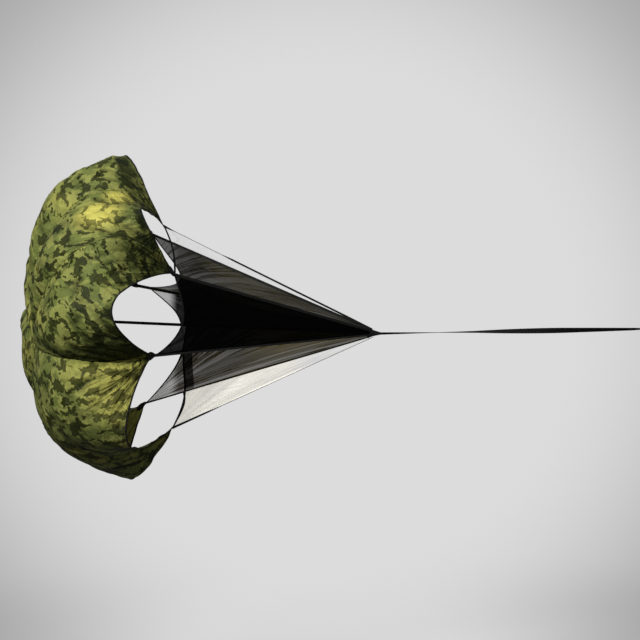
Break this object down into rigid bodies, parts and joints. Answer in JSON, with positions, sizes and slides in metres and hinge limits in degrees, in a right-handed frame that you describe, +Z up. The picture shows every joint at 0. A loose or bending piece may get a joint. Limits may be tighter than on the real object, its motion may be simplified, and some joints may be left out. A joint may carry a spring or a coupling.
{
  "type": "speed parachute",
  "caption": "Inflated camouflage running parachute: scalloped gored canopy, cone of black net on flat tapes, twisted tow strap and a swivel snap hook for a belt ring.",
  "frame": {"origin": "seat of the snap hook's bow, where the belt ring pulls", "axes": "+X along the strap towards the runner, +Z up as in the picture, +Y away from the picture's side"},
  "size_m": [1.8769, 0.764, 0.8448],
  "materials": {
    "olive_nylon": "camouflage-printed nylon with a slight sheen",
    "black_tape": "matt woven tape",
    "black_net": "fine black net, see-through",
    "black_webbing": "woven webbing",
    "nickel_plate": "bright nickel plate",
    "spring_steel": "bare spring steel"
  },
  "bodies": {
    "canopy_and_strap": {"canopy_gore_1": "olive_nylon", "canopy_gore_2": "olive_nylon", "canopy_gore_3": "olive_nylon", "canopy_gore_4": "olive_nylon", "canopy_gore_5": "olive_nylon", "canopy_gore_6": "olive_nylon", "canopy_gore_7": "olive_nylon", "canopy_gore_8": "olive_nylon", "crown_patch": "olive_nylon", "hem_binding_1": "black_tape", "hem_binding_2": "black_tape", "hem_binding_3": "black_tape", "hem_binding_4": "black_tape", "hem_binding_5": "black_tape", "hem_binding_6": "black_tape", "hem_binding_7": "black_tape", "hem_binding_8": "black_tape", "line_tape_1": "black_tape", "line_tape_2": "black_tape", "line_tape_3": "black_tape", "line_tape_4": "black_tape", "line_tape_5": "black_tape", "line_tape_6": "black_tape", "line_tape_7": "black_tape", "line_tape_8": "black_tape", "net_binding_1": "black_tape", "net_binding_2": "black_tape", "net_binding_3": "black_tape", "net_binding_4": "black_tape", "net_binding_5": "black_tape", "net_binding_6": "black_tape", "net_binding_7": "black_tape", "net_binding_8": "black_tape", "net_panel_1": "black_net", "net_panel_2": "black_net", "net_panel_3": "black_net", "net_panel_4": "black_net", "net_panel_5": "black_net", "net_panel_6": "black_net", "net_panel_7": "black_net", "net_panel_8": "black_net", "tip_tab_1": "black_webbing", "tip_tab_2": "black_webbing", "tip_tab_3": "black_webbing", "tip_tab_4": "black_webbing", "tip_tab_5": "black_webbing", "tip_tab_6": "black_webbing", "tip_tab_7": "black_webbing", "tip_tab_8": "black_webbing", "gather_sleeve": "black_webbing", "tow_strap": "black_webbing"},
    "eye": {"strap_eye": "nickel_plate"},
    "hook": {"snap_hook_body": "nickel_plate", "swivel_washer": "nickel_plate"},
    "gate": {"hook_gate": "nickel_plate", "gate_pin": "nickel_plate", "gate_spring": "spring_steel"}
  },
  "joints": [
    {"name": "eye_swing", "type": "hinge", "parent": "canopy_and_strap", "child": "eye", "pos_m": [-0.071, 0, 0], "axis": [0, 1, 0], "range_deg": [-90, 90]},
    {"name": "hook_swivel", "type": "hinge", "parent": "eye", "child": "hook", "pos_m": [-0.0545, 0, 0], "axis": [1, 0, 0], "continuous": true},
    {"name": "gate_hinge", "type": "hinge", "parent": "hook", "child": "gate", "pos_m": [-0.034, 0, 0.00975], "axis": [0, 1, 0], "range_deg": [0, 28], "stiffness_Nm_per_rad": 0.02, "springref_deg": -17.19}
  ]
}
